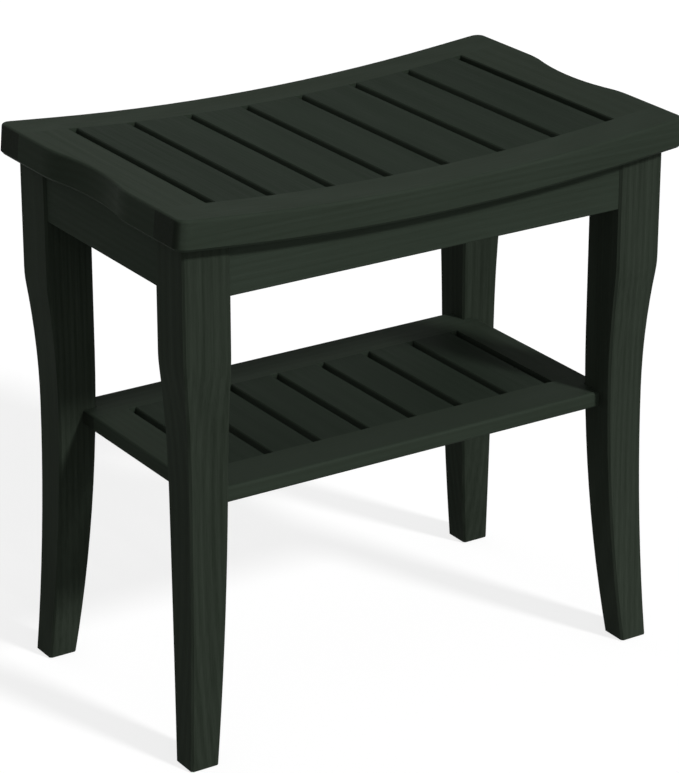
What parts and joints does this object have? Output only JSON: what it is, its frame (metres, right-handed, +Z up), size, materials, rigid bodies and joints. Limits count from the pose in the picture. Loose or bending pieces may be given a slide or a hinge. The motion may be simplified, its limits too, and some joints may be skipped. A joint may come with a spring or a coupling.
{
  "type": "shower bench",
  "caption": "Slatted wooden shower bench with a dished seat, flared legs, aprons and a slatted lower shelf.",
  "frame": {"origin": "on the floor, below the middle of the seat", "axes": "+X along the seat to the right-hand end, +Y to the back, +Z up"},
  "size_m": [0.4562, 0.278, 0.4494],
  "materials": {
    "stained_wood": "very dark green-black stain under a satin lacquer, faint lengthwise grain",
    "bare_wood": "unstained hardwood, hidden in the joints",
    "screw_steel": "plain stainless steel",
    "pad_rubber": "matt black non-slip rubber"
  },
  "bodies": {
    "root": {"apron_back": "stained_wood", "apron_front": "stained_wood", "apron_left": "stained_wood", "apron_right": "stained_wood", "corner_block_back_left": "stained_wood", "corner_block_back_right": "stained_wood", "corner_block_front_left": "stained_wood", "corner_block_front_right": "stained_wood", "corner_block_screws": "screw_steel", "foot_pad_back_left": "pad_rubber", "foot_pad_back_right": "pad_rubber", "foot_pad_front_left": "pad_rubber", "foot_pad_front_right": "pad_rubber", "leg_back_left": "stained_wood", "leg_back_right": "stained_wood", "leg_front_left": "stained_wood", "leg_front_right": "stained_wood", "seat_back_rail": "stained_wood", "seat_end_board_left": "stained_wood", "seat_end_board_right": "stained_wood", "seat_front_rail": "stained_wood", "seat_loose_tenons": "bare_wood", "seat_slat_1": "stained_wood", "seat_slat_2": "stained_wood", "seat_slat_3": "stained_wood", "seat_slat_4": "stained_wood", "seat_slat_5": "stained_wood", "seat_slat_6": "stained_wood", "seat_slat_7": "stained_wood", "shelf_back_rail": "stained_wood", "shelf_end_board_left": "stained_wood", "shelf_end_board_right": "stained_wood", "shelf_front_rail": "stained_wood", "shelf_slat_1": "stained_wood", "shelf_slat_2": "stained_wood", "shelf_slat_3": "stained_wood", "shelf_slat_4": "stained_wood", "shelf_slat_5": "stained_wood", "shelf_slat_6": "stained_wood", "shelf_slat_7": "stained_wood"}
  },
  "joints": []
}
